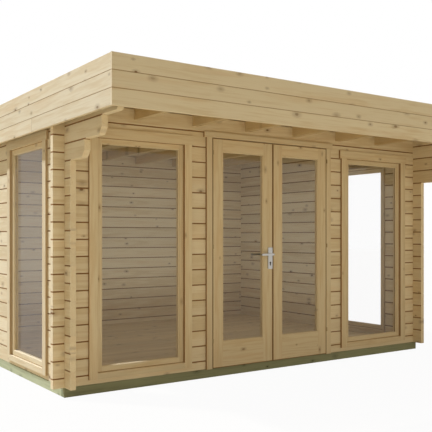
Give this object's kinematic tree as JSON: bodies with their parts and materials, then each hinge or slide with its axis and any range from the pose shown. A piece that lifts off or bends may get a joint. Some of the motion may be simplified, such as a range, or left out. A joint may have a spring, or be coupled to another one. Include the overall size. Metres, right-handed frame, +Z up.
{
  "type": "log cabin",
  "caption": "Flat-roofed log cabin with cross-notched planed log walls, full-height windows, a deep front overhang on stepped corbels and glazed double doors that open outwards.",
  "frame": {"origin": "on the ground, below the middle of the roof outline", "axes": "+X to the right along the front wall, +Y to the back, +Z up"},
  "size_m": [4.068, 4.14, 2.2666],
  "materials": {
    "log_wood": "planed, untreated",
    "joinery_wood": "planed, untreated",
    "roof_wood": "planed, untreated",
    "fascia_wood": "planed, untreated",
    "floor_wood": "planed, untreated",
    "treated_wood": "sawn, pressure treated green",
    "glass": "clear float glass",
    "steel": "satin",
    "felt": "mineral roofing felt"
  },
  "bodies": {
    "cabin": {"foundation_beams": "treated_wood", "floor_joists": "treated_wood", "floor_boards": "floor_wood", "front_wall_left_logs": "log_wood", "front_wall_right_logs": "log_wood", "front_top_log": "log_wood", "back_wall_logs": "log_wood", "left_wall_logs": "log_wood", "right_wall_logs": "log_wood", "door_frame": "joinery_wood", "door_trim": "joinery_wood", "door_threshold": "joinery_wood", "hinges_fixed": "steel", "roof_joists": "roof_wood", "roof_deck": "roof_wood", "roof_kerb": "roof_wood", "roof_felt": "felt", "fascia_front": "fascia_wood", "fascia_back": "fascia_wood", "fascia_left": "fascia_wood", "fascia_right": "fascia_wood", "window_front_left_trim": "joinery_wood", "window_front_left_frame": "joinery_wood", "window_front_left_sash": "joinery_wood", "window_front_left_glass": "glass", "window_front_right_trim": "joinery_wood", "window_front_right_frame": "joinery_wood", "window_front_right_sash": "joinery_wood", "window_front_right_glass": "glass", "window_left_trim": "joinery_wood", "window_left_frame": "joinery_wood", "window_left_sash": "joinery_wood", "window_left_glass": "glass", "window_right_trim": "joinery_wood", "window_right_frame": "joinery_wood", "window_right_sash": "joinery_wood", "window_right_glass": "glass"},
    "door_left": {"door_leaf_left": "joinery_wood", "door_glass_left": "glass", "hinges_leaf_left": "steel", "handle_plates": "steel"},
    "door_right": {"door_leaf_right": "joinery_wood", "door_glass_right": "glass", "hinges_leaf_right": "steel"},
    "lever": {"handle_lever": "steel"}
  },
  "joints": [
    {"name": "door_left_hinge", "type": "hinge", "parent": "cabin", "child": "door_left", "pos_m": [-0.6385, -1.1045, 1], "axis": [0, 0, -1], "range_deg": [0, 110]},
    {"name": "door_right_hinge", "type": "hinge", "parent": "cabin", "child": "door_right", "pos_m": [0.6385, -1.1045, 1], "axis": [0, 0, 1], "range_deg": [0, 110]},
    {"name": "lever_turn", "type": "hinge", "parent": "door_left", "child": "lever", "pos_m": [-0.034, -1.08, 1.004], "axis": [0, -1, 0], "range_deg": [0, 40], "stiffness_Nm_per_rad": 1.5, "springref_deg": -22.92}
  ]
}
